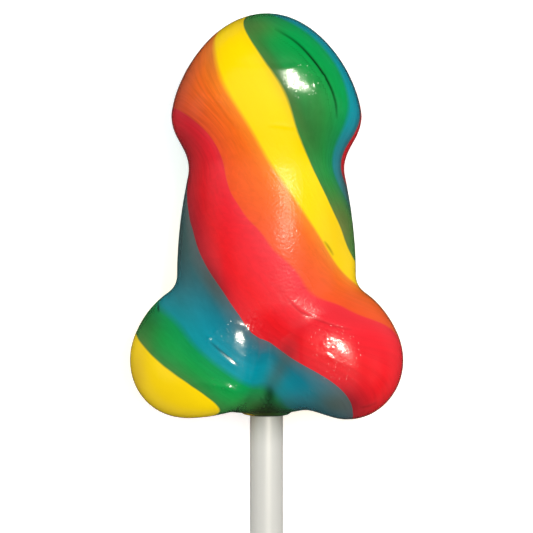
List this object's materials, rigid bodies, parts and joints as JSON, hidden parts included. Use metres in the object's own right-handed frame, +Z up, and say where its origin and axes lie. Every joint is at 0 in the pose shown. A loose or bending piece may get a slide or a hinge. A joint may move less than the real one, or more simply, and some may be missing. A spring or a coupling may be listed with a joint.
{
  "type": "penis lollipop",
  "caption": "Novelty lollipop: a pressed lump of twisted rainbow hard candy in the shape of a penis, on a plain white plastic stick, lying on its back.",
  "frame": {"origin": "middle of the footprint of the whole lollipop, on the surface that it lies on", "axes": "+Y along the stick to the candy's tip, +Z up from the back to the shown front, +X to the right of the front"},
  "size_m": [0.05, 0.1684, 0.0242],
  "materials": {
    "candy": "glossy twisted hard candy in red, orange, yellow, green and blue strands",
    "stick": "smooth milky white plastic"
  },
  "bodies": {
    "root": {"candy": "candy", "stick": "stick"}
  },
  "joints": []
}
